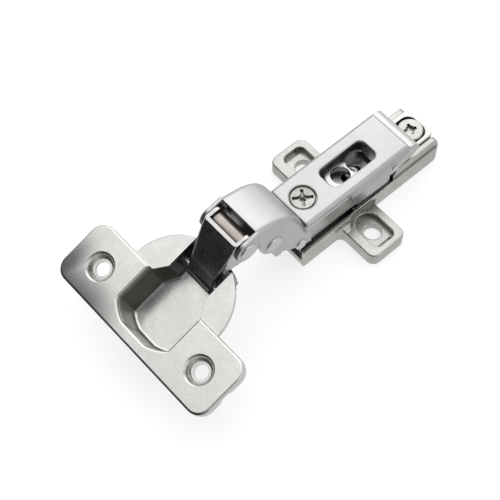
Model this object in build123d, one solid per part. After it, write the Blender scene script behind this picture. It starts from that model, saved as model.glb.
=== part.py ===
from build123d import *
import os
import math

os.makedirs("parts", exist_ok=True)

# Concealed cup hinge, door open. Millimetres.
# X = 0 on the line through the two plate screw holes, +X along the arm to its rear end.
# Y = 0 on the mid-plane. Z = 0 on the underside of the mounting plate, +Z away from the cabinet side.

# ---- driving dimensions -------------------------------------------------
# cup
cup_origin_x, cup_origin_z = -76.0, 18.7   # line of the two cup screw holes, on the flange underside
cup_tilt = 20.1                            # door angle above the plate plane
flange_t = 1.2
flange_front, flange_rear = -10.3, 10.6    # from the screw-hole line
flange_half = 33.1
flange_skin = 1.1
door_n = -2.2                              # door face; the flange is a tray turned down to it
cup_hole_half = 22.5                       # 45 mm between the cup screws
cup_hole_r = 2.3
dimple_r, dimple_seat_r, dimple_seat_n = 4.75, 3.05, -1.2
rim_r, body_r = 18.6, 17.5                 # rim 37, bore 35
rim_n = -0.95                              # top of the rim, below the flange top
bore_a = 9.5                               # bore axis behind the screw-hole line
floor_n = -10.0                            # pocket floor, from the flange underside
wall_t = 1.15
# pivots (x, z)
P3 = (-44.95, 33.2)     # outer link on the nose
P1 = (-35.1, 25.8)      # inner link on the nose
P2 = (-23.8, 12.8)      # closing spring rivet
C3a, C3n = 19.229, -6.4  # outer link pin in the cup frame
C1a, C1n = 24.373, -4.691 # inner link pin in the cup frame
pin_r = 1.25
tilt_x, tilt_z = 3.0, 14.5
lever_x, lever_z = 16.0, 14.3
screw_x = -15.7
cam_x, cam_ecc = 30.6, -1.6
cam_y = -0.5 - cam_ecc
# mounting plate: the tail behind the wings is narrower and lower than the front
base_half, tail_half, tail_z, step_x = 9.8, 8.8, 7.0, -0.9
# arm widths
nose_half, nose_in = 8.55, 7.25
arm_half, arm_half_top, arm_t, arm_top = 9.05, 8.15, 0.95, 20.8
link_half_top, link_half_low, link_t = 7.0, 5.2, 1.1


def poly_xz(pts, y0, y1):
    w = Wire.make_polygon([Vector(x, y0, z) for x, z in pts], close=True)
    return Solid.extrude(Face(w), Vector(0, y1 - y0, 0))


def poly_xy(pts, z0, z1):
    w = Wire.make_polygon([Vector(x, y, z0) for x, y in pts], close=True)
    return Solid.extrude(Face(w), Vector(0, 0, z1 - z0))


def poly_yz(pts, x0, x1):
    w = Wire.make_polygon([Vector(x0, y, z) for y, z in pts], close=True)
    return Solid.extrude(Face(w), Vector(x1 - x0, 0, 0))


def cyl_y(x, z, r, y0, y1):
    return Solid.make_cylinder(r, y1 - y0, Plane(origin=(x, y0, z), z_dir=(0, 1, 0)))


def cyl_z(x, y, r, z0, z1):
    return Solid.make_cylinder(r, z1 - z0, Plane(origin=(x, y, z0), z_dir=(0, 0, 1)))


def cone_z(x, y, r0, r1, z0, z1):
    return Solid.make_cone(r0, r1, z1 - z0, Plane(origin=(x, y, z0), z_dir=(0, 0, 1)))


def block(x0, x1, y0, y1, z0, z1):
    return Solid.make_box(x1 - x0, y1 - y0, z1 - z0, Plane(origin=(x0, y0, z0)))


def one(shape):
    s = shape.solids()
    s = sorted(s, key=lambda q: -q.volume)
    return s[0]


def put(shape, name):
    n = len(shape.solids())
    shape.label = name
    export_step(shape, "parts/" + name + ".step")
    print(name, "solids", n, "volume", round(sum(s.volume for s in shape.solids()), 1), "valid", shape.is_valid)
    return shape


# ---- cup (one pressing) -------------------------------------------------
ct, st = math.cos(math.radians(cup_tilt)), math.sin(math.radians(cup_tilt))
cup_frame = Plane(origin=(cup_origin_x, 0, cup_origin_z), x_dir=(ct, 0, st), z_dir=(-st, 0, ct))


def cup_to_world(a, n):
    return (cup_origin_x + a * ct - n * st, cup_origin_z + a * st + n * ct)


def loft_walls(outline_top, n_top, outline_low, n_low):
    w0 = Wire.make_polygon([Vector(a, y, n_low) for a, y in outline_low], close=True)
    w1 = Wire.make_polygon([Vector(a, y, n_top) for a, y in outline_top], close=True)
    return Solid.make_loft([w0, w1], ruled=True)


def mirrored(half):
    return [(a, y) for a, y in half] + [(a, -y) for a, y in reversed(half)]


# pocket: half outlines (a, y) above the flange and at the floor
pocket_top = mirrored([(-6.47, 11.78), (10.3, 11.78), (14.65, 8.2), (30.0, 8.2)])
pocket_low = mirrored([(-5.7, 9.3), (9.6, 9.3), (14.4, 6.6), (30.0, 6.6)])
shell_top = mirrored([(-7.5, 12.6), (10.8, 12.6), (15.0, 9.4), (30.0, 9.4)])
shell_low = mirrored([(-6.85, 10.4), (10.1, 10.4), (14.9, 7.8), (30.0, 7.8)])

cavity = loft_walls(pocket_top, 1.8, pocket_low, floor_n)
cavity = one(cavity & cone_z(bore_a, 0, 15.55, 16.85, floor_n, 1.8))
vert = [e for e in cavity.edges() if abs(e.center().Z + 4) < 1.5 and e.center().X < -1]
cavity = one(cavity.fillet(1.6, vert))
slot = loft_walls(mirrored([(21.0, 8.16), (30.0, 8.16)]), 1.8, mirrored([(21.0, 6.56), (30.0, 6.56)]), floor_n)
low = [e for e in cavity.edges() if abs(e.center().Z - floor_n) < 0.05 and e.center().X < 20 and abs(e.center().Y) > 0.01 or (abs(e.center().Z - floor_n) < 0.05 and e.center().X < 0)]
cavity = one(cavity.fillet(1.1, low))

shell = loft_walls(shell_top, 0.6, shell_low, floor_n - 1.1)
shell = one(shell & cyl_z(bore_a, 0, body_r, floor_n - 1.1, 0.6))
low = [e for e in shell.edges() if abs(e.center().Z - (floor_n - 1.1)) < 0.05 and e.center().X < 14]
shell = one(shell.chamfer(0.9, None, low))
shell = one(shell - block(flange_rear - 0.2, 31, -20, 20, rim_n - 0.1, 3))

fl_mid, fl_len = (flange_front + flange_rear) / 2, flange_rear - flange_front
tray = extrude(Pos(fl_mid, 0, door_n) * RectangleRounded(fl_len, 2 * flange_half, 4.7), flange_t - door_n)
under = extrude(Pos(fl_mid, 0, door_n) * RectangleRounded(fl_len - 2.2, 2 * flange_half - 2.2, 3.6), flange_t - flange_skin - door_n)
tray = one(tray - under)
rim = one(cyl_z(bore_a + 0.1, 0, rim_r, door_n + 0.05, rim_n) & block(9.8, 31, -20, 20, -3, 0))
rim = one(rim.fillet(0.3, [e for e in rim.edges() if abs(e.center().Z - rim_n) < 0.01 and e.geom_type == GeomType.CIRCLE]))
cup = one(tray + rim + shell)
cup = one(cup - cavity - slot)
mouth = [e for e in cup.edges() if abs(e.center().Z - flange_t) < 0.01 and -7.5 < e.center().X < 9.9 and abs(e.center().Y) < 12.4]
cup = one(cup.fillet(0.8, mouth))
outer = [e for e in cup.edges() if abs(e.center().Z - flange_t) < 0.01 and (abs(e.center().X - flange_rear) < 0.05 or abs(e.center().Y) > 20 or e.center().X < flange_front + 1.5)]
cup = one(cup.fillet(0.7, outer))
for sy in (-1, 1):
    cup = one(cup + cone_z(0, sy * cup_hole_half, 3.9, 5.7, door_n, 0.4))
    # end notch in the turned-down edge
    y0, y1 = sorted((sy * (flange_half - 1.4), sy * (flange_half + 1)))
    cup = one(cup - poly_xz([(-2.7, door_n - 0.1), (-1.1, -0.8), (1.1, -0.8), (2.7, door_n - 0.1)], y0, y1))
    dish = Spline([Vector(dimple_r, 0, flange_t), Vector(4.2, 0, 0.75), Vector(3.55, 0, -0.45), Vector(dimple_seat_r, 0, dimple_seat_n)])
    rest = Polyline([Vector(dimple_seat_r, 0, dimple_seat_n), Vector(cup_hole_r, 0, dimple_seat_n), Vector(cup_hole_r, 0, -4), Vector(0, 0, -4), Vector(0, 0, flange_t + 0.6), Vector(dimple_r, 0, flange_t + 0.6), Vector(dimple_r, 0, flange_t)])
    tool = Solid.revolve(Face(Wire(dish.edges() + rest.edges())), 360, Axis.Z)
    cup = one(cup - tool.moved(Location((0, sy * cup_hole_half, 0))))
cup = one(cup - cyl_z(24.9, -12.1, 0.45, -3, 1))
cup = one(cup - cyl_y(C3a, C3n, pin_r + 0.01, -20, 20) - cyl_y(C1a, C1n, pin_r + 0.01, -20, 20))
cup = cup.moved(cup_frame.location)
put(cup, "cup")

x3, z3 = cup_to_world(C3a, C3n)
x1, z1 = cup_to_world(C1a, C1n)
pin3 = cyl_y(x3, z3, pin_r, -8.9, 8.9)
pin3 = one(pin3.chamfer(0.25, None, [e for e in pin3.edges() if e.geom_type == GeomType.CIRCLE]))
put(pin3, "cup_pin_outer")
pin1 = cyl_y(x1, z1, pin_r, -8.9, 8.9)
pin1 = one(pin1.chamfer(0.25, None, [e for e in pin1.edges() if e.geom_type == GeomType.CIRCLE]))
put(pin1, "cup_pin_inner")

# ---- outer link: folded channel with a flat web --------------------------
Tx, Tz = -48.7, 37.3                  # top of the web, outer face
la = math.atan2(-0.873, -0.487)
ldx, ldz = math.cos(la), math.sin(la)
lqx, lqz = -ldz, ldx                  # depth direction, from the web to P3


def lk(s, h):
    return (Tx + s * ldx + h * lqx, Tz + s * ldz + h * lqz)


def link_prism(pts_sy, h0, h1):
    v = [Vector(lk(s, h0)[0], y, lk(s, h0)[1]) for s, y in pts_sy]
    return Solid.extrude(Face(Wire.make_polygon(v, close=True)), Vector((h1 - h0) * lqx, 0, (h1 - h0) * lqz))


eye3_r = 2.4
side = [(0, 0), (14.6, 0), (19.1, 0.7), (19.1, 3.0), (9.6, 3.2), (6.0, 6.5), (1.75, 5.27), (-2.62, 4.6)]
body = poly_xz([lk(*p) for p in side], -8, 8) + cyl_y(P3[0], P3[1], 4.4, -8, 8)
body = one(body)
taper = [(-9, 7.0), (3.0, 6.95), (19.1, 5.3), (24, 4.8)]
body = one(body & link_prism([(s, y) for s, y in taper] + [(s, -y) for s, y in reversed(taper)], -3, 16))
web_edges = [e for e in body.edges() if e.length > 3.5 and all(abs((v.X - Tx) * lqx + (v.Z - Tz) * lqz) < 0.75 for v in e.vertices()) and abs(e.center().Y) > 3 and abs(e.vertices()[0].Y - e.vertices()[1].Y) < 3]
body = one(body.fillet(1.1, web_edges))
core = link_prism([(-9, 5.85), (3.0, 5.8), (16.3, 4.35), (16.3, -4.35), (3.0, -5.8), (-9, -5.85)], link_t, 16)
body = one(body - core)
eye = cyl_y(x3, z3, eye3_r, -5.2, 5.2)
body = one(body + eye)
body = one(body - cyl_y(x3, z3, pin_r + 0.05, -9, 9) - cyl_y(P3[0], P3[1], 1.83, -9, 9))
outer_link = body
put(outer_link, "outer_link")

# ---- inner link: cranked, with a wide rear eye ---------------------------
L1 = math.hypot(P1[0] - x1, P1[1] - z1)
ia = math.atan2(P1[1] - z1, P1[0] - x1)


def il(u, v):
    return (x1 + u * math.cos(ia) - v * math.sin(ia), z1 + u * math.sin(ia) + v * math.cos(ia))


def bar(p, q, r, y0, y1):
    a = math.atan2(q[1] - p[1], q[0] - p[0])
    nx, nz = -math.sin(a) * r, math.cos(a) * r
    s = poly_xz([(p[0] + nx, p[1] + nz), (q[0] + nx, q[1] + nz), (q[0] - nx, q[1] - nz), (p[0] - nx, p[1] - nz)], y0, y1)
    return s + cyl_y(p[0], p[1], r, y0, y1) + cyl_y(q[0], q[1], r, y0, y1)


il_half, il_t = 4.1, 1.3
ring_c = il(L1, 0.85)
ring_r, ring_hole = 4.95, 3.82
bend = il(8.3, -3.05)
link = bar((x1, z1), bend, 1.85, -il_half, il_half) + bar(bend, il(L1 - 3.2, -1.4), 1.85, -il_half, il_half) + cyl_y(ring_c[0], ring_c[1], ring_r, -il_half, il_half)
link = one(link)
hollow = poly_xz([il(2.75, 6), il(2.75, -1.55), il(8.2, -3.7), il(12.2, -2.9), il(12.2, -9), il(24, -9), il(24, 8)], -il_half + il_t, il_half - il_t)
link = one(link - hollow)
link = one(link + cyl_y(x1, z1, 2.5, -il_half, il_half))
link = one(link - cyl_y(x1, z1, pin_r + 0.05, -9, 9) - cyl_y(ring_c[0], ring_c[1], ring_hole, -9, 9))
put(link, "inner_link")

# ---- nose arm (one pressing) ----------------------------------------------
web_pts = [(-41.3, 38.75), (-38.2, 37.95), (-34.4, 36.85), (-30.6, 35.2), (-28.2, 33.4), (-25.9, 30.4), (-24.1, 26.6), (-22.8, 22.9), (-22.1, 20.6), (-21.35, 18.75), (-20.3, 17.8), (-18.9, 17.6)]
nose_t = 1.3


def offset_line(pts, t):
    out = []
    for i, (x, z) in enumerate(pts):
        a = pts[max(i - 1, 0)]
        b = pts[min(i + 1, len(pts) - 1)]
        dx, dz = b[0] - a[0], b[1] - a[1]
        n = math.hypot(dx, dz)
        out.append((x + t * dz / n, z - t * dx / n))
    return out


def spline_prism(curve, rest, y0, y1):
    s = Spline([Vector(x, y0, z) for x, z in curve])
    pl = Polyline([Vector(curve[-1][0], y0, curve[-1][1])] + [Vector(x, y0, z) for x, z in rest] + [Vector(curve[0][0], y0, curve[0][1])])
    f = Face(Wire(s.edges() + pl.edges()))
    return Solid.extrude(f, Vector(0, y1 - y0, 0))


wall_rest = [(-7.5, 17.6), (6.6, 17.6), (7.2, 17.0), (7.2, 10.6), (6.2, 9.7), (-19.0, 9.7), (-21.3, 10.9), (-24.4, 11.8), (-30.2, 16.3), (-35.6, 21.1), (-38.6, 24.0), (-39.9, 26.0), (-40.4, 28.6), (-40.85, 32.6)]
nose = spline_prism(web_pts, wall_rest, -nose_half, nose_half)
long_top = [e for e in nose.edges() if abs(abs(e.center().Y) - nose_half) < 0.01 and ((e.length > 20 and e.center().Z > 24) or (abs(e.center().Z - 17.6) < 0.02))]
nose = one(nose.fillet(2.0, long_top))
inner_pts = offset_line(web_pts, nose_t)
nose_core = spline_prism([(-44.0, 38.3)] + inner_pts[1:-1] + [(-18.9, 16.3)], [(-7.5, 16.3), (-7.5, 21), (12, 21), (12, 0), (-46, 0), (-46, 20), (-46, 38.3)], -nose_in, nose_in)
nose = one(nose - nose_core)
ear_poly = [(-45.9, 37.3), (-41.2, 38.55), (-40.2, 37.0), (-40.5, 33.4), (-41.25, 32.3), (-41.9, 30.8), (-44.6, 29.2), (-46.5, 31.0)]
for sy in (-1, 1):
    y0, y1 = sorted((sy * 7.2, sy * 8.4))
    ear = poly_xz(ear_poly, y0, y1) + cyl_y(P3[0], P3[1], 4.3, y0, y1)
    nose = one(nose + ear)
    y0, y1 = sorted((sy * 7.25, sy * 7.95))
    nose = one(nose + poly_xz([(-35.4, 22.5), (-35.2, 19.6), (-34.0, 16.3), (-33.1, 15.4), (-31.9, 15.2), (-30.6, 16.6), (-29.0, 19.0)], y0, y1))
nose = one(nose - cyl_y(P3[0], P3[1], 1.76, -12, 12) - cyl_y(P1[0], P1[1], 1.61, -12, 12) - cyl_y(P2[0], P2[1], 1.61, -12, 12))
nose = one(nose - cyl_z(screw_x, 0, 2.75, 10, 20))
nose = one(nose - block(1.35, 4.65, -12, 12, 13.8, 15.2))
for sy in (-1, 1):
    y0, y1 = sorted((sy * 7.95, sy * 9.2))
    nose = one(nose - block(-19.6, 8, y0, y1, 8, 18))
put(nose, "nose_arm")

# ---- rivets and sleeve in the nose ----------------------------------------


def rivet(p, shaft_r, head_r, inner_face, rise=0.45):
    s = cyl_y(p[0], p[1], shaft_r, -inner_face - 0.02, inner_face + 0.02)
    for sy in (-1, 1):
        h = cyl_y(p[0], p[1], head_r, min(sy * inner_face, sy * (inner_face + rise)), max(sy * inner_face, sy * (inner_face + rise)))
        h = one(h.chamfer(0.3, None, [e for e in h.edges() if e.geom_type == GeomType.CIRCLE and abs(e.center().Y) > inner_face + rise - 0.01]))
        s = s + h
    return one(s)


put(rivet(P3, 1.75, 2.85, 8.4), "outer_link_rivet")
put(rivet(P1, 1.6, 2.9, 8.55), "inner_link_rivet")
put(rivet(P2, 1.6, 2.1, 8.55), "spring_rivet")
sleeve = cyl_y(P3[0], P3[1], 3.15, -5.5, 5.5) - cyl_y(P3[0], P3[1], 1.76, -6, 6)
put(one(sleeve), "link_sleeve")

# ---- springs ---------------------------------------------------------------


def rod(p, q, r):
    d = Vector(*q) - Vector(*p)
    return Solid.make_cylinder(r, d.length, Plane(origin=p, z_dir=d))


def ball(p, r):
    return Solid.make_sphere(r, Plane(origin=p), -90, 90, 360)


def coil(x, z, y0, pitch, turns, r, wr, start_deg):
    """Round wire coil about a Y axis; wire starts at start_deg (XZ angle) and turns from +X to +Z."""
    path = Edge.make_helix(pitch, pitch * turns, r, lefthand=True)
    prof = Wire.make_circle(wr, Plane(origin=path @ 0, z_dir=path % 0))
    s = Solid.sweep(prof, path=path)
    s = s.rotate(Axis.Z, -start_deg)
    return s.moved(Location(Plane(origin=(x, y0, z), x_dir=(1, 0, 0), z_dir=(0, 1, 0))))


wire_r, coil_r, coil_pitch = 0.5, 2.75, 1.12
end_deg = 47.0
turns = (1080 + end_deg - 90) / 360
y_in = 1.6
y_out = y_in + coil_pitch * turns
c1 = one(coil(P2[0], P2[1], y_in, coil_pitch, turns, coil_r, wire_r, 90))
start = (P2[0], y_in, P2[1] + coil_r)
ex = P2[0] + coil_r * math.cos(math.radians(end_deg))
ez = P2[1] + coil_r * math.sin(math.radians(end_deg))
leg = 9.2
tip = (ex - leg * math.sin(math.radians(end_deg)), y_out, ez + leg * math.cos(math.radians(end_deg)))
legs = rod((ex, y_out, ez), tip, wire_r) + ball(tip, wire_r) + rod(tip, (tip[0], -0.01, tip[2]), wire_r)
spring = one(c1 + rod(start, (-19.0, y_in, start[2]), wire_r - 0.004) + ball((-19.0, y_in, start[2]), wire_r - 0.004) + ball(start, wire_r + 0.004))
spring = spring + ball((ex, y_out, ez), wire_r + 0.004)
spring = one(spring + legs)
spring = one(spring + spring.mirror(Plane.XZ))
put(spring, "closing_spring")

# one smooth wire: a leg up the lever's tongue, the coil round the pin, a leg along the arm's underside
lw, lr, lp, lt = 0.3, 1.6, 0.75, 4.75
ly0, steps = -0.5 * lp * lt, 57
wire = [(lever_x - lr, ly0 - 0.02, lever_z + 1.9), (lever_x - lr, ly0 - 0.01, lever_z + 0.95)]
for i in range(steps + 1):
    ang = math.pi + 2 * math.pi * lt * i / steps
    wire.append((lever_x + lr * math.cos(ang), ly0 + lp * lt * i / steps, lever_z + lr * math.sin(ang)))
wire += [(lever_x - 1.2, -ly0 + 0.01, lever_z + lr), (lever_x - 2.4, -ly0 + 0.02, lever_z + lr)]
lpath = Edge.make_spline([Vector(*q) for q in wire])
lspring = Solid.sweep(Wire.make_circle(lw, Plane(origin=lpath @ 0, z_dir=lpath % 0)), path=lpath)
put(lspring, "lever_spring")

# ---- outer arm (one pressing) ----------------------------------------------
arm_side = [(-21.3, 20.8), (-21.3, 19.55), (-20.7, 19.35), (-4.4, 19.2), (-3.6, 18.6), (-1.4, 12.2), (-0.5, 11.2), (12.1, 10.7), (13.0, 11.3), (13.35, 17.2), (13.9, 17.75), (20.6, 17.75), (21.3, 18.3), (21.6, 19.2), (21.6, 20.3), (21.3, 20.65), (20.8, 20.8)]
arm = poly_xz(arm_side, -arm_half, arm_half)
arm = one(arm & poly_yz([(-arm_half, 5), (-arm_half, 16.9), (-arm_half_top, arm_top), (arm_half_top, arm_top), (arm_half, 16.9), (arm_half, 5)], -30, 30))
top_long = [e for e in arm.edges() if e.length > 20 and abs(e.center().Z - arm_top) < 0.01 and abs(e.center().Y) > 7]
arm = one(arm.fillet(1.4, top_long))
arm_core = [(-30, 19.85), (24.0, 19.85), (24.0, 5), (-30, 5)]
core = poly_xz(arm_core, -(arm_half - arm_t), arm_half - arm_t)
core = one(core & poly_yz([(-arm_half + arm_t, 4), (-arm_half + arm_t, 17.0), (-arm_half_top + 0.9, 19.85), (arm_half_top - 0.9, 19.85), (arm_half - arm_t, 17.0), (arm_half - arm_t, 4)], -31, 31))
core = one(core.fillet(0.55, [e for e in core.edges() if e.length > 20 and abs(e.center().Z - 19.85) < 0.01 and abs(e.center().Y) > 5]))
arm = one(arm - core)
window = extrude(Pos(2.8, -0.15, 19) * RectangleRounded(18.6, 8.3, 2.3), 3)
arm = one(arm - window)
arm = one(arm - cyl_z(screw_x, 0, 4.4, 19, 22))
rim_e = [e for e in arm.edges() if abs(e.center().Z - arm_top) < 0.01 and -7 < e.center().X < 12.5 and abs(e.center().Y) < 4.5]
arm = one(arm.fillet(0.3, rim_e))
front_e = [e for e in arm.edges() if abs(e.center().X + 21.3) < 0.01 and abs(e.center().Z - arm_top) < 0.01]
arm = one(arm.fillet(0.3, front_e))
put(arm, "outer_arm")

# ---- side adjusting screw ---------------------------------------------------
head = cyl_z(screw_x, 0, 3.95, 19.5, 20.6)
head = one(head.chamfer(0.25, None, [e for e in head.edges() if abs(e.center().Z - 20.6) < 0.01]))
screw = head + cyl_z(screw_x, 0, 4.6, 18.75, 19.55) + cyl_z(screw_x, 0, 2.5, 12.0, 19.0)
screw = screw + cone_z(screw_x, 0, 1.9, 2.5, 11.4, 12.0)
slot_a = block(-3.3, 3.3, -0.55, 0.55, 19.7, 21)
slot_b = block(-0.5, 0.5, -3.0, 3.0, 19.7, 21)
cross = one(slot_a + slot_b + cone_z(0, 0, 0.3, 1.5, 18.9, 20.7))
cross = cross.rotate(Axis.Z, -35).moved(Location((screw_x, 0, 0)))
screw = one(screw - cross)
put(screw, "side_adjust_screw")

# ---- arm retainer: bracket inside the outer arm ------------------------------
ret = block(-6.9, 13.3, -6.9, 6.9, 14.0, 15.0)
ret = ret + block(1.6, 4.4, -8.0, 8.0, 14.0, 15.0)
ret = ret + block(12.4, 13.3, -6.9, 6.9, 14.0, 19.84) + block(12.4, 17.0, -6.9, 6.9, 18.9, 19.84)
for sy in (-1, 1):
    y0, y1 = sorted((sy * 5.9, sy * 6.9))
    ret = ret + poly_xz([(12.6, 19.0), (12.6, 14.5), (13.4, 12.05), (18.3, 12.05), (18.6, 12.6), (18.6, 19.0)], y0, y1)
ret = ret + block(-6.9, -5.95, -4.4, 4.4, 9.3, 15.0) + block(-6.9, -4.2, -4.4, 4.4, 9.3, 10.3)
ret = ret + cyl_z(0.2, 0, 4.85, 14.2, 16.7)
ret = one(ret)
ret = one(ret - cyl_z(0.2, 0, 3.2, 12, 18) - cyl_z(8.6, 0, 4.8, 12, 20) + block(12.4, 13.3, -6.9, 6.9, 14.0, 19.0))
ret = one(ret - cyl_y(lever_x, lever_z, 1.11, -9, 9))
put(ret, "arm_retainer")

# ---- release lever -----------------------------------------------------------
lever = poly_xz([(13.9, 12.1), (15.2, 11.75), (17.6, 12.0), (24.8, 14.2), (25.6, 14.9), (26.45, 15.3), (26.2, 16.7), (25.5, 18.2), (24.6, 19.3), (23.4, 19.9), (21.8, 20.05), (21.8, 17.4), (14.6, 17.1), (13.9, 16.3)], -8.35, 8.35)
lever_core = poly_xz([(12, 9), (12, 21), (20.9, 21), (20.9, 18.95), (23.1, 18.85), (24.0, 18.3), (24.8, 17.3), (25.25, 16.2), (25.5, 15.2), (26.5, 13), (26.5, 9)], -7.35, 7.35)
lever = one(lever - lever_core)
lever = lever + block(19.3, 20.4, -7.5, 7.5, 13.0, 17.0)
lever = lever + block(19.3, 20.4, -4.4, 4.4, 9.25, 13.5) + block(19.3, 21.0, -4.4, 4.4, 9.25, 10.05)
lever = one(lever)
lever = one(lever - cyl_y(lever_x, lever_z, 1.15, -9, 9))
put(lever, "release_lever")
lpin = cyl_y(lever_x, lever_z, 1.1, -8.6, 8.6)
put(lpin, "lever_pin")

# ---- slide plate ---------------------------------------------------------------
sl = block(-5.5, 35.3, -6.15, 6.15, 2.7, 12.0)
sl = one(sl)
ve = [e for e in sl.edges() if e.length > 9 and e.length < 10 and abs(abs(e.center().Y) - 6.15) < 0.01]
sl = one(sl.fillet(1.2, ve))
te = [e for e in sl.edges() if abs(e.center().Z - 12.0) < 0.01]
sl = one(sl.fillet(0.4, te))
sl = one(sl - block(-9, 34.5, -4.9, 4.9, 0, 10.5))
cam_c = cam_x
sl = one(sl - extrude(Pos(cam_c, -0.15, 9) * RectangleRounded(8.5, 9.5, 3.2), 5))
sl = one(sl - extrude(Pos(5.3, 0, 9) * SlotOverall(7.6, 3.7), 5))
sl = one(sl - block(18.5, 21.4, -4.7, 4.7, 9, 13))
put(sl, "slide_plate")

# ---- depth cam -------------------------------------------------------------------
disc = cyl_z(cam_x, cam_y + cam_ecc, 4.15, 10.75, 12.7)
disc = one(disc.chamfer(0.3, None, [e for e in disc.edges() if abs(e.center().Z - 12.7) < 0.01]))
cam = disc + cyl_z(cam_x, cam_y, 1.7, 0.6, 11.0)
rec = block(-2.1, 2.1, -0.55, 0.55, 11.4, 13) + block(-0.55, 0.55, -2.1, 2.1, 11.4, 13)
star = rec + (block(-1.5, 1.5, -0.35, 0.35, 11.6, 13) + block(-0.35, 0.35, -1.5, 1.5, 11.6, 13)).rotate(Axis.Z, 45)
star = one(star).rotate(Axis.Z, -24).moved(Location((cam_x, cam_y + cam_ecc, 0)))
cam = one(one(cam) - star)
put(cam, "depth_cam")

# ---- guide screw ------------------------------------------------------------------
gs = cyl_z(5.3, 0, 2.6, 12.06, 13.6)
gs = one(gs.fillet(1.0, [e for e in gs.edges() if abs(e.center().Z - 13.6) < 0.01]))
gs = gs + cyl_z(5.3, 0, 1.6, 0.6, 12.2)
sq = block(-0.85, 0.85, -0.85, 0.85, 12.6, 14).rotate(Axis.Z, 20).moved(Location((5.3, 0, 0)))
gs = one(one(gs) - sq)
put(gs, "guide_screw")

# ---- mounting plate (one casting) ----------------------------------------------------
base = one(block(-23.5, step_x, -base_half, base_half, 0, 7.8) + block(step_x - 1, 37.0, -tail_half, tail_half, 0, tail_z))
cor = [e for e in base.edges() if abs(e.length - tail_z) < 0.01 and e.center().X > 36]
base = one(base.fillet(2.6, cor))
wing = extrude(Pos(-0.4, 0, 0) * RectangleRounded(14.4, 48.6, 2.8), 4.8)
wing = one(wing)
we = [e for e in wing.edges() if abs(e.center().Z - 4.8) < 0.01]
wing = one(wing.fillet(0.6, we))
base = one(base + wing)
inn = [e for e in base.edges() if abs(e.center().Z - 2.4) < 0.3 and 8 < abs(e.center().Y) < 10 and 6 < abs(e.center().X + 0.4) < 8]
base = one(base.fillet(2.2, [e for e in inn if e.center().X < 0]))
for sy in (-1, 1):
    y0, y1 = sorted((sy * (tail_half - 0.1), sy * (tail_half + 2.2)))
    root = one(block(6.7, 9.0, y0, y1, 0, 4.3) - cyl_z(9.0, sy * (tail_half + 2.2), 2.2, -1, 6))
    base = one(base + root)
base = one(base - block(-30, step_x - 0.5, -8.75, 8.75, 2.5, 20) - block(step_x - 1, 40, -7.7, 7.7, 2.5, 20))
rail = block(-22.5, 16.8, 6.35, 7.1, 2.0, 8.4) + poly_xz([(16.0, 2.0), (16.0, 9.0), (17.2, 11.0), (34.2, 11.0), (35.4, 10.0), (36.0, 7.0), (36.0, 2.0)], 6.35, 8.3)
rail = one(rail)
rail = one(rail.fillet(0.5, [e for e in rail.edges() if e.length > 15 and e.center().Z > 10.9 and e.center().Y > 8]))
base = one(base + rail + rail.mirror(Plane.XZ))
base = one(base + block(30.0, 36.4, -8.0, 8.0, 2.0, 2.6))
for sy in (-1, 1):
    base = one(base - cyl_z(-0.9, sy * 14.1, 5.25, 4.8, 12))
    y0, y1 = sorted((sy * 14.05, sy * 22.2))
    pocket = cyl_z(0, sy * 14.05, 4.25, 2.7, 8) + extrude(Pos(0, (y0 + y1) / 2, 2.7) * Rectangle(8.5, y1 - y0), 5)
    pocket = one(pocket)
    outer_e = [e for e in pocket.edges() if abs(e.length - 5) < 0.4 and abs(e.center().Y - sy * 22.2) < 0.05]
    pocket = one(pocket.fillet(2.2, outer_e))
    base = one(base - pocket)
    base = one(base - cyl_z(0, sy * 16.0, 2.85, -1, 4))
    y0, y1 = sorted((sy * 20.95, sy * 22.15))
    base = one(base - block(-2.9, 2.9, y0, y1, -1, 4))
base = one(base - cyl_z(cam_x, cam_y, 1.75, -1, 4) - cyl_z(5.3, 0, 1.61, -1, 4))
put(base, "mounting_plate")
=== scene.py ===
import math

import bmesh
import bpy
from mathutils import Matrix, Vector


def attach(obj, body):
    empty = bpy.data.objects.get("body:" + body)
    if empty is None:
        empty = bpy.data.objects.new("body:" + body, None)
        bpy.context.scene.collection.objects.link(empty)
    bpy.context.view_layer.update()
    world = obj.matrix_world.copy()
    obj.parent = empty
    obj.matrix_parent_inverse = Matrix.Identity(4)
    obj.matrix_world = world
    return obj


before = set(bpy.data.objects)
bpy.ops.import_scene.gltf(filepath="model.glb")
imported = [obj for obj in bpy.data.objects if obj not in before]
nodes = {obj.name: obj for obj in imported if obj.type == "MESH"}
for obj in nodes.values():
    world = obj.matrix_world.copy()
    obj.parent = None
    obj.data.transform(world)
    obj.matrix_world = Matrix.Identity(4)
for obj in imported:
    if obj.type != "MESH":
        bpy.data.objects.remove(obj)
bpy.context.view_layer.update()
mm = 0.001


# ---------------------------------------------------------------- camera
AZ, EL, ROLL = math.radians(-41.27), math.radians(60.49), math.radians(-0.3)
back = Vector((math.sin(AZ) * math.cos(EL), -math.cos(AZ) * math.cos(EL), math.sin(EL)))
cam_data = bpy.data.cameras.new("camera")
cam_data.sensor_width = 36.0
cam_data.lens = 1470.2 / 500.0 * 36.0
cam_data.clip_start, cam_data.clip_end = 0.02, 20.0
camera = bpy.data.objects.new("camera", cam_data)
bpy.context.scene.collection.objects.link(camera)
right = Vector((0.7486, -0.6630, -0.0026))
right = (right - back * right.dot(back)).normalized()
up = back.cross(right)
rot = Matrix((right, up, back)).transposed().to_4x4()
rot.translation = Vector((-0.1817, -0.1648, 0.4008))
camera.matrix_world = rot
bpy.context.scene.camera = camera


# ---------------------------------------------------------------- node helpers
def tree_of(name):
    mat = bpy.data.materials.new(name)
    mat.use_nodes = True
    nt = mat.node_tree
    nt.nodes.clear()
    return mat, nt


def new(nt, kind, **values):
    n = nt.nodes.new(kind)
    for k, v in values.items():
        setattr(n, k, v)
    return n


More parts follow.
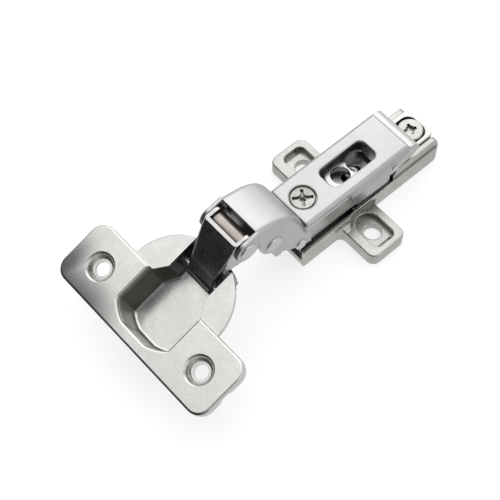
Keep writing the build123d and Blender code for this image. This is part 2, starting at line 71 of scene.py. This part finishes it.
def math_node(nt, op, a, b=None, c=None, clamp=False):
    n = new(nt, "ShaderNodeMath", operation=op, use_clamp=clamp)
    for i, v in enumerate((a, b, c)):
        if v is None:
            continue
        if isinstance(v, (int, float)):
            n.inputs[i].default_value = v
        else:
            nt.links.new(v, n.inputs[i])
    return n.outputs[0]


def remap(nt, v, a, b, c, d, kind="LINEAR"):
    n = new(nt, "ShaderNodeMapRange", interpolation_type=kind)
    nt.links.new(v, n.inputs[0])
    for i, x in enumerate((a, b, c, d)):
        n.inputs[i + 1].default_value = x
    return n.outputs[0]


def mix_color(nt, fac, a, b):
    n = new(nt, "ShaderNodeMix", data_type="RGBA", blend_type="MIX")
    if isinstance(fac, (int, float)):
        n.inputs[0].default_value = fac
    else:
        nt.links.new(fac, n.inputs[0])
    for i, v in ((6, a), (7, b)):
        if isinstance(v, tuple):
            n.inputs[i].default_value = (*v, 1.0) if len(v) == 3 else v
        else:
            nt.links.new(v, n.inputs[i])
    return n.outputs[2]


def noise(nt, vec, scale, detail=3.0, rough=0.55, distortion=0.0):
    n = new(nt, "ShaderNodeTexNoise")
    nt.links.new(vec, n.inputs["Vector"])
    n.inputs["Scale"].default_value = scale
    n.inputs["Detail"].default_value = detail
    n.inputs["Roughness"].default_value = rough
    n.inputs["Distortion"].default_value = distortion
    return n.outputs["Fac"]


def metal(
    name,
    base=(0.56, 0.555, 0.565),
    dark=(0.44, 0.435, 0.45),
    rough=0.30,
    rough_var=0.08,
    grain=2600.0,
    bump=0.25,
    brushed=None,
    edge=(0.80, 0.80, 0.80),
    edge_wear_and_highlight_amount=0.5,
    edge_radius=0.22,
    soil=0.25,
    distance=0.00003,
    crown=None,
    painted_shade_patch=None,
    crevice_shade=0.0,
    crevice_shade_color=(0.10, 0.092, 0.084),
    crevice_shade_distance=1.4,
):
    """Plated or bare metal: fine grain in the bump and the roughness, broad tonal drift, faint scratches, brighter
    edges (rubbed wear and partly a painted highlight), and optional painted shade in crevices and patches.
    """
    mat, nt = tree_of(name)
    out = new(nt, "ShaderNodeOutputMaterial")
    bsdf = new(nt, "ShaderNodeBsdfPrincipled")
    nt.links.new(bsdf.outputs[0], out.inputs[0])
    bsdf.inputs["Metallic"].default_value = 1.0
    co = new(nt, "ShaderNodeTexCoord").outputs["Object"]
    if brushed:
        mp = new(nt, "ShaderNodeMapping")
        nt.links.new(co, mp.inputs[0])
        mp.inputs["Scale"].default_value = brushed
        gco = mp.outputs[0]
    else:
        gco = co
    fine = noise(nt, gco, grain, 4.0, 0.62)
    mid = noise(nt, co, 260.0, 3.0, 0.55, 0.4)
    broad = noise(nt, co, 45.0, 2.0, 0.5, 0.6)
    tone = math_node(nt, "ADD", math_node(nt, "MULTIPLY", mid, 0.45), math_node(nt, "MULTIPLY", broad, 0.55))
    tone = remap(nt, tone, 0.34, 0.66, 0.0, 1.0, "SMOOTHSTEP")
    colour = mix_color(nt, math_node(nt, "MULTIPLY", tone, soil), base, dark)
    # brighter edges: rubbed wear, and partly a painted highlight along rounded edges
    bevel = new(nt, "ShaderNodeBevel", samples=4)
    bevel.inputs["Radius"].default_value = edge_radius * mm
    geo = new(nt, "ShaderNodeNewGeometry")
    dot = new(nt, "ShaderNodeVectorMath", operation="DOT_PRODUCT")
    nt.links.new(bevel.outputs[0], dot.inputs[0])
    nt.links.new(geo.outputs["Normal"], dot.inputs[1])
    edge_wear_and_highlight = remap(nt, dot.outputs["Value"], 0.995, 0.86, 0.0, 1.0, "SMOOTHSTEP")
    edge_wear_and_highlight = math_node(nt, "MULTIPLY", edge_wear_and_highlight, remap(nt, mid, 0.35, 0.6, 0.35, 1.0))
    edge_wear_and_highlight = math_node(nt, "MULTIPLY", edge_wear_and_highlight, edge_wear_and_highlight_amount, clamp=True)
    colour = mix_color(nt, edge_wear_and_highlight, colour, edge)
    # a patch of painted shade in the base colour, where a finish passes one in
    if painted_shade_patch:
        colour = painted_shade_patch(nt, co, colour)
    # painted shade: colour darkens towards near black in crevices and corners found by ambient occlusion
    if crevice_shade:
        ao = new(nt, "ShaderNodeAmbientOcclusion", samples=6)
        ao.only_local = True
        ao.inputs["Distance"].default_value = crevice_shade_distance * mm
        crevice_shaded = remap(nt, ao.outputs["AO"], 0.92, 0.45, 0.0, crevice_shade, "SMOOTHSTEP")
        crevice_shaded = math_node(nt, "MULTIPLY", crevice_shaded, remap(nt, mid, 0.3, 0.6, 0.75, 1.0))
        colour = mix_color(nt, crevice_shaded, colour, crevice_shade_color)
    nt.links.new(colour, bsdf.inputs["Base Color"])
    r = remap(nt, fine, 0.3, 0.7, rough - rough_var, rough + rough_var)
    r = math_node(nt, "ADD", r, math_node(nt, "MULTIPLY", tone, 0.05))
    r = math_node(nt, "SUBTRACT", r, math_node(nt, "MULTIPLY", edge_wear_and_highlight, 0.08), clamp=True)
    nt.links.new(r, bsdf.inputs["Roughness"])
    # hairline scratches, on top of the grain
    smap = new(nt, "ShaderNodeMapping")
    nt.links.new(co, smap.inputs[0])
    smap.inputs["Rotation"].default_value = (0.2, 0.1, 0.6)
    smap.inputs["Scale"].default_value = (0.12, 1.0, 1.0)
    scr = remap(nt, noise(nt, smap.outputs[0], 1400.0, 1.0, 0.4), 0.66, 0.74, 0.0, 1.0)
    height = math_node(nt, "SUBTRACT", fine, math_node(nt, "MULTIPLY", scr, 0.35))
    bmp = new(nt, "ShaderNodeBump")
    bmp.inputs["Strength"].default_value = bump
    bmp.inputs["Distance"].default_value = distance
    nt.links.new(height, bmp.inputs["Height"])
    nt.links.new(crown(nt, co, bevel.outputs[0]) if crown else bevel.outputs[0], bmp.inputs["Normal"])
    nt.links.new(bmp.outputs[0], bsdf.inputs["Normal"])
    return mat


# the cup's own axes: a runs back from the line of its screw holes, y along it
TILT = math.radians(20.1)
A_DIR = Vector((math.cos(TILT), 0.0, math.sin(TILT)))
N_DIR = Vector((-math.sin(TILT), 0.0, math.cos(TILT)))
CUP_0 = Vector((-0.076, 0.0, 0.0187))


def along(nt, co, direction, origin):
    """Distance in metres along a direction from a point, as a node value."""
    sub = new(nt, "ShaderNodeVectorMath", operation="SUBTRACT")
    nt.links.new(co, sub.inputs[0])
    sub.inputs[1].default_value = origin
    dp = new(nt, "ShaderNodeVectorMath", operation="DOT_PRODUCT")
    nt.links.new(sub.outputs[0], dp.inputs[0])
    dp.inputs[1].default_value = direction
    return dp.outputs["Value"]


def flange_crown(nt, co, normal):
    """The shading normal tilts by a few degrees at the flange's far front corner, and on the pocket floor where it
    meets the far wall, as if the pressing rolled off there.
    """
    a = along(nt, co, A_DIR, CUP_0)
    y = along(nt, co, Vector((0, 1, 0)), CUP_0)
    deep = remap(nt, along(nt, co, N_DIR, CUP_0), -0.0060, -0.0085, 0.0, 1.0)
    front = math_node(nt, "MULTIPLY", remap(nt, a, -0.0005, -0.0095, 0.0, 1.0), remap(nt, y, 0.001, 0.020, 0.0, 1.0, "SMOOTHSTEP"))
    corner = math_node(nt, "MULTIPLY", remap(nt, y, 0.0235, 0.0315, 0.0, 1.2, "SMOOTHSTEP"), remap(nt, a, 0.009, -0.0075, 0.0, 1.0, "SMOOTHSTEP"))
    w = math_node(nt, "MULTIPLY", math_node(nt, "MAXIMUM", front, corner), math_node(nt, "SUBTRACT", 1.0, deep))
    w = math_node(nt, "ADD", w, math_node(nt, "MULTIPLY", deep, remap(nt, y, 0.0034, 0.0072, 0.0, 0.75, "SMOOTHSTEP")))
    w = math_node(nt, "MULTIPLY", w, -0.16)
    tilt = new(nt, "ShaderNodeVectorMath", operation="SCALE")
    tilt.inputs[0].default_value = A_DIR
    nt.links.new(w, tilt.inputs["Scale"])
    add = new(nt, "ShaderNodeVectorMath", operation="ADD")
    nt.links.new(normal, add.inputs[0])
    nt.links.new(tilt.outputs[0], add.inputs[1])
    nrm = new(nt, "ShaderNodeVectorMath", operation="NORMALIZE")
    nt.links.new(add.outputs[0], nrm.inputs[0])
    return nrm.outputs[0]


def pocket_wall_painted_shade(nt, co, colour):
    """Painted shade: the pocket's walls are darkened towards a dark grey, more so deeper down and on the steeper faces.
    """
    deep = remap(nt, along(nt, co, N_DIR, CUP_0), 0.0004, -0.0014, 0.0, 1.0, "SMOOTHSTEP")
    geo = new(nt, "ShaderNodeNewGeometry")
    dot = new(nt, "ShaderNodeVectorMath", operation="DOT_PRODUCT")
    nt.links.new(geo.outputs["Normal"], dot.inputs[0])
    dot.inputs[1].default_value = N_DIR
    steep = remap(nt, dot.outputs["Value"], 0.93, 0.55, 0.0, 1.0, "SMOOTHSTEP")
    y = along(nt, co, Vector((0, 1, 0)), CUP_0)
    a = along(nt, co, A_DIR, CUP_0)
    inside = math_node(nt, "MULTIPLY", remap(nt, math_node(nt, "ABSOLUTE", y), 0.0125, 0.0120, 0.0, 1.0), remap(nt, a, -0.0072, -0.0068, 0.0, 1.0))
    fac = math_node(nt, "MULTIPLY", math_node(nt, "MULTIPLY", deep, steep), inside)
    return mix_color(nt, math_node(nt, "MULTIPLY", fac, 0.94), colour, (0.205, 0.198, 0.187))


def plate_front_painted_shade(nt, co, colour):
    """Painted shade: the plate's front end faces are darkened towards near black."""
    geo = new(nt, "ShaderNodeNewGeometry")
    dot = new(nt, "ShaderNodeVectorMath", operation="DOT_PRODUCT")
    nt.links.new(geo.outputs["Normal"], dot.inputs[0])
    dot.inputs[1].default_value = (-1.0, 0.0, 0.0)
    faces_front = remap(nt, dot.outputs["Value"], 0.55, 0.9, 0.0, 0.85, "SMOOTHSTEP")
    x = along(nt, co, Vector((1, 0, 0)), Vector((0, 0, 0)))
    fac = math_node(nt, "MULTIPLY", faces_front, remap(nt, x, -0.0240, -0.0255, 0.0, 1.0))
    return mix_color(nt, fac, colour, (0.11, 0.105, 0.10))


# ---------------------------------------------------------------- materials
finish = {
    # the drawn cup: matt, sandy nickel
    "cup": metal("cup", base=(0.585, 0.58, 0.565), dark=(0.48, 0.475, 0.46), rough=0.27, rough_var=0.07, grain=3000.0, bump=0.50, soil=0.3, crown=flange_crown, painted_shade_patch=pocket_wall_painted_shade),
    "cup_pin_outer": metal("cup_pin_outer", rough=0.22, bump=0.1),
    "cup_pin_inner": metal("cup_pin_inner", rough=0.22, bump=0.1),
    # bright rolled and sheared strip
    "outer_link": metal("outer_link", base=(0.44, 0.435, 0.435), dark=(0.34, 0.33, 0.335), rough=0.20, rough_var=0.05, grain=1800.0, bump=0.12, soil=0.2),
    "inner_link": metal("inner_link", base=(0.48, 0.475, 0.48), dark=(0.36, 0.35, 0.36), rough=0.26, rough_var=0.06, bump=0.2),
    "link_sleeve": metal("link_sleeve", base=(0.375, 0.337, 0.315), dark=(0.25, 0.222, 0.205), rough=0.36, rough_var=0.07, grain=3000.0, bump=0.25, brushed=(1.0, 0.12, 1.0), soil=0.55),
    "outer_link_rivet": metal("outer_link_rivet", rough=0.24, bump=0.15),
    "inner_link_rivet": metal("inner_link_rivet", rough=0.24, bump=0.15),
    "spring_rivet": metal("spring_rivet", rough=0.24, bump=0.15),
    "closing_spring": metal("closing_spring", base=(0.36, 0.35, 0.35), dark=(0.22, 0.21, 0.21), rough=0.28, rough_var=0.08, bump=0.2, soil=0.6, edge_wear_and_highlight_amount=0.0),
    "lever_spring": metal("lever_spring", base=(0.36, 0.35, 0.35), dark=(0.22, 0.21, 0.21), rough=0.28, rough_var=0.08, bump=0.2, soil=0.6, edge_wear_and_highlight_amount=0.0),
    # the pressed arm parts: smooth satin nickel
    "nose_arm": metal("nose_arm", base=(0.475, 0.472, 0.463), dark=(0.43, 0.427, 0.42), rough=0.36, rough_var=0.05, grain=3200.0, bump=0.14, soil=0.25, edge_radius=0.6),
    "outer_arm": metal("outer_arm", base=(0.432, 0.426, 0.424), dark=(0.37, 0.362, 0.366), rough=0.31, rough_var=0.05, grain=3200.0, bump=0.12, soil=0.35, edge=(0.66, 0.655, 0.645), edge_wear_and_highlight_amount=0.7, edge_radius=0.85),
    "side_adjust_screw": metal("side_adjust_screw", base=(0.42, 0.412, 0.395), dark=(0.15, 0.145, 0.135), rough=0.27, rough_var=0.08, bump=0.35, soil=0.8, crevice_shade=0.9, crevice_shade_distance=1.0),
    "arm_retainer": metal("arm_retainer", base=(0.52, 0.515, 0.52), dark=(0.42, 0.41, 0.42), rough=0.24, rough_var=0.05, bump=0.15),
    "release_lever": metal("release_lever", base=(0.47, 0.466, 0.46), dark=(0.38, 0.376, 0.37), rough=0.31, rough_var=0.05, bump=0.15),
    "lever_pin": metal("lever_pin", rough=0.22, bump=0.1),
    "slide_plate": metal("slide_plate", base=(0.56, 0.555, 0.54), dark=(0.42, 0.415, 0.40), rough=0.27, rough_var=0.06, bump=0.25, soil=0.4, crevice_shade=0.5, crevice_shade_distance=0.8, edge_wear_and_highlight_amount=0.7, edge_radius=0.4),
    "depth_cam": metal("depth_cam", base=(0.50, 0.493, 0.475), dark=(0.32, 0.315, 0.30), rough=0.28, rough_var=0.06, bump=0.25, soil=0.5, crevice_shade=0.9, crevice_shade_distance=0.9),
    "guide_screw": metal("guide_screw", base=(0.46, 0.44, 0.42), dark=(0.30, 0.29, 0.28), rough=0.28, rough_var=0.06, bump=0.2, soil=0.5),
    # the casting: slightly softer skin
    "mounting_plate": metal("mounting_plate", base=(0.45, 0.443, 0.428), dark=(0.27, 0.265, 0.25), rough=0.27, rough_var=0.07, grain=1900.0, bump=0.40, soil=0.40, distance=0.00004, crevice_shade=0.85, crevice_shade_distance=1.6, painted_shade_patch=plate_front_painted_shade, edge=(0.74, 0.735, 0.72), edge_wear_and_highlight_amount=0.7, edge_radius=0.5),
}
for name, node in nodes.items():
    mat = finish[name]
    if not node.data.materials:
        node.data.materials.append(mat)
    for i in range(len(node.material_slots)):
        node.material_slots[i].material = mat


# ---------------------------------------------------------------- the nose's turned-down front lip, coloured dark as painted shade
def rounded(points, radii, steps=6):
    """A closed outline with its corners rounded."""
    out = []
    n = len(points)
    for i, (p, r) in enumerate(zip(points, radii)):
        p = Vector(p)
        if r <= 0:
            out.append(p)
            continue
        a, b = (Vector(points[i - 1]) - p).normalized(), (Vector(points[(i + 1) % n]) - p).normalized()
        half = a.angle(b) / 2
        t = r / math.tan(half)
        c = p + (a + b).normalized() * (r / math.sin(half))
        s0, s1 = p + a * t - c, p + b * t - c
        for k in range(steps + 1):
            f = k / steps
            v = s0.lerp(s1, f)
            out.append(c + v.normalized() * r)
    return out


lip_outline = rounded([(-5.6, 37.62), (-5.6, 34.2), (-4.1, 30.5), (4.1, 30.5), (5.6, 34.2), (5.6, 37.62)], [0, 1.5, 1.3, 1.3, 1.5, 0])
verts, faces = [], []
for layer in (0.0, 0.45):
    for y, z in lip_outline:
        verts.append(((-41.25 + (37.62 - z) * 0.07 + layer) * mm, y * mm, z * mm))
count = len(lip_outline)
faces.append(tuple(range(count)))
faces.append(tuple(range(2 * count - 1, count - 1, -1)))
for i in range(count):
    j = (i + 1) % count
    faces.append((i, i + count, j + count, j))
me = bpy.data.meshes.new("nose_front_lip")
me.from_pydata(verts, [], faces)
bm = bmesh.new()
bm.from_mesh(me)
bmesh.ops.recalc_face_normals(bm, faces=bm.faces)
bm.to_mesh(me)
bm.free()
lip = bpy.data.objects.new("nose_front_lip", me)
bpy.context.scene.collection.objects.link(lip)
soft_edge = lip.modifiers.new("edge", "BEVEL")
soft_edge.width = 0.00010
soft_edge.segments = 2
# the lip's dark colour is painted shade: the nose's nickel darkened to fill the gap in front of the sleeve
me.materials.append(metal("nose_front_lip", base=(0.20, 0.19, 0.18), dark=(0.09, 0.085, 0.08), rough=0.36, rough_var=0.08, grain=2600.0, bump=0.3, soil=0.8, edge=(0.34, 0.33, 0.32), edge_wear_and_highlight_amount=0.4))
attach(lip, "nose")


# ---------------------------------------------------------------- floor and light
def plane(name, size, z):
    me = bpy.data.meshes.new(name)
    s = size / 2
    me.from_pydata([(-s, -s, z), (s, -s, z), (s, s, z), (-s, s, z)], [], [(0, 1, 2, 3)])
    ob = bpy.data.objects.new(name, me)
    bpy.context.scene.collection.objects.link(ob)
    return ob


def lit(name, tone_a, tone_b, glow):
    """A pale board: faint mottling, some of its light from a lamp under it."""
    mat, nt = tree_of(name)
    out = new(nt, "ShaderNodeOutputMaterial")
    bsdf = new(nt, "ShaderNodeBsdfPrincipled")
    nt.links.new(bsdf.outputs[0], out.inputs[0])
    co = new(nt, "ShaderNodeTexCoord").outputs["Object"]
    tone = mix_color(nt, noise(nt, co, 60.0, 3.0), tone_a, tone_b)
    nt.links.new(tone, bsdf.inputs["Base Color"])
    bsdf.inputs["Roughness"].default_value = 0.9
    bsdf.inputs["Specular IOR Level"].default_value = 0.1
    bsdf.inputs["Emission Color"].default_value = (1.0, 1.0, 1.0, 1.0)
    bsdf.inputs["Emission Strength"].default_value = glow
    return mat


# a light table: the board that the camera sees glows a little, so shadows stay faint; the metal sees a plain grey-white one
floor = plane("floor", 6.0, -0.00004)
floor.data.materials.append(lit("floor", (0.34, 0.34, 0.34), (0.325, 0.325, 0.328), 0.74))
floor.visible_glossy = False
board = plane("board", 6.0, -0.00008)
board.data.materials.append(lit("board", (0.82, 0.815, 0.805), (0.79, 0.785, 0.775), 0.16))
board.visible_camera = board.visible_diffuse = board.visible_shadow = False
board.visible_transmission = board.visible_volume_scatter = False

# a black card on the floor in front of the cup end: it is seen in the metal only, never by the camera, and throws no shadow
me = bpy.data.meshes.new("flag")
me.from_pydata([(-0.60, -0.30, 0.0003), (-0.088, -0.30, 0.0003), (-0.088, 0.45, 0.0003), (-0.60, 0.45, 0.0003)], [], [(0, 1, 2, 3)])
flag = bpy.data.objects.new("flag", me)
bpy.context.scene.collection.objects.link(flag)
kmat, nt = tree_of("flag")
out = new(nt, "ShaderNodeOutputMaterial")
kb = new(nt, "ShaderNodeBsdfDiffuse")
kb.inputs["Color"].default_value = (0.012, 0.012, 0.012, 1.0)
nt.links.new(kb.outputs[0], out.inputs[0])
flag.data.materials.append(kmat)
flag.visible_camera = flag.visible_diffuse = flag.visible_shadow = False
flag.visible_transmission = flag.visible_volume_scatter = False

world = bpy.data.worlds.new("studio")
bpy.context.scene.world = world
world.use_nodes = True
nt = world.node_tree
nt.nodes.clear()
wout = new(nt, "ShaderNodeOutputWorld")
bg = new(nt, "ShaderNodeBackground")
nt.links.new(bg.outputs[0], wout.inputs[0])
d = new(nt, "ShaderNodeTexCoord").outputs["Generated"]
norm = new(nt, "ShaderNodeVectorMath", operation="NORMALIZE")
nt.links.new(d, norm.inputs[0])
d = norm.outputs[0]
sep = new(nt, "ShaderNodeSeparateXYZ")
nt.links.new(d, sep.inputs[0])


def lobe(direction, inner, outer, amount):
    """A soft-edged panel of light: full inside the inner angle, nothing past the outer one."""
    v = Vector(direction).normalized()
    n = new(nt, "ShaderNodeVectorMath", operation="DOT_PRODUCT")
    nt.links.new(d, n.inputs[0])
    n.inputs[1].default_value = v
    return remap(nt, n.outputs["Value"], math.cos(math.radians(outer)), math.cos(math.radians(inner)), 0.0, amount, "SMOOTHSTEP")


total = remap(nt, sep.outputs["Z"], -0.2, 0.9, 0.40, 0.34, "SMOOTHSTEP")
total = math_node(nt, "ADD", total, lobe((0.15, 0.40, 0.90), 33, 47, 1.42))
total = math_node(nt, "ADD", total, lobe((0.95, 0.30, 0.22), 20, 56, 1.05))
total = math_node(nt, "ADD", total, lobe((0.32, -0.80, 0.42), 16, 40, 0.85))
shade = lobe((-0.95, 0.20, 0.10), 30, 64, 0.97)
total = math_node(nt, "MULTIPLY", total, math_node(nt, "SUBTRACT", 1.0, shade))
nt.links.new(total, bg.inputs["Strength"])
bg.inputs["Color"].default_value = (1.0, 1.0, 1.0, 1.0)

scene = bpy.context.scene
scene.view_settings.view_transform = "Standard"
scene.view_settings.look = "None"
scene.view_settings.exposure = 0.0
scene.view_settings.gamma = 1.0
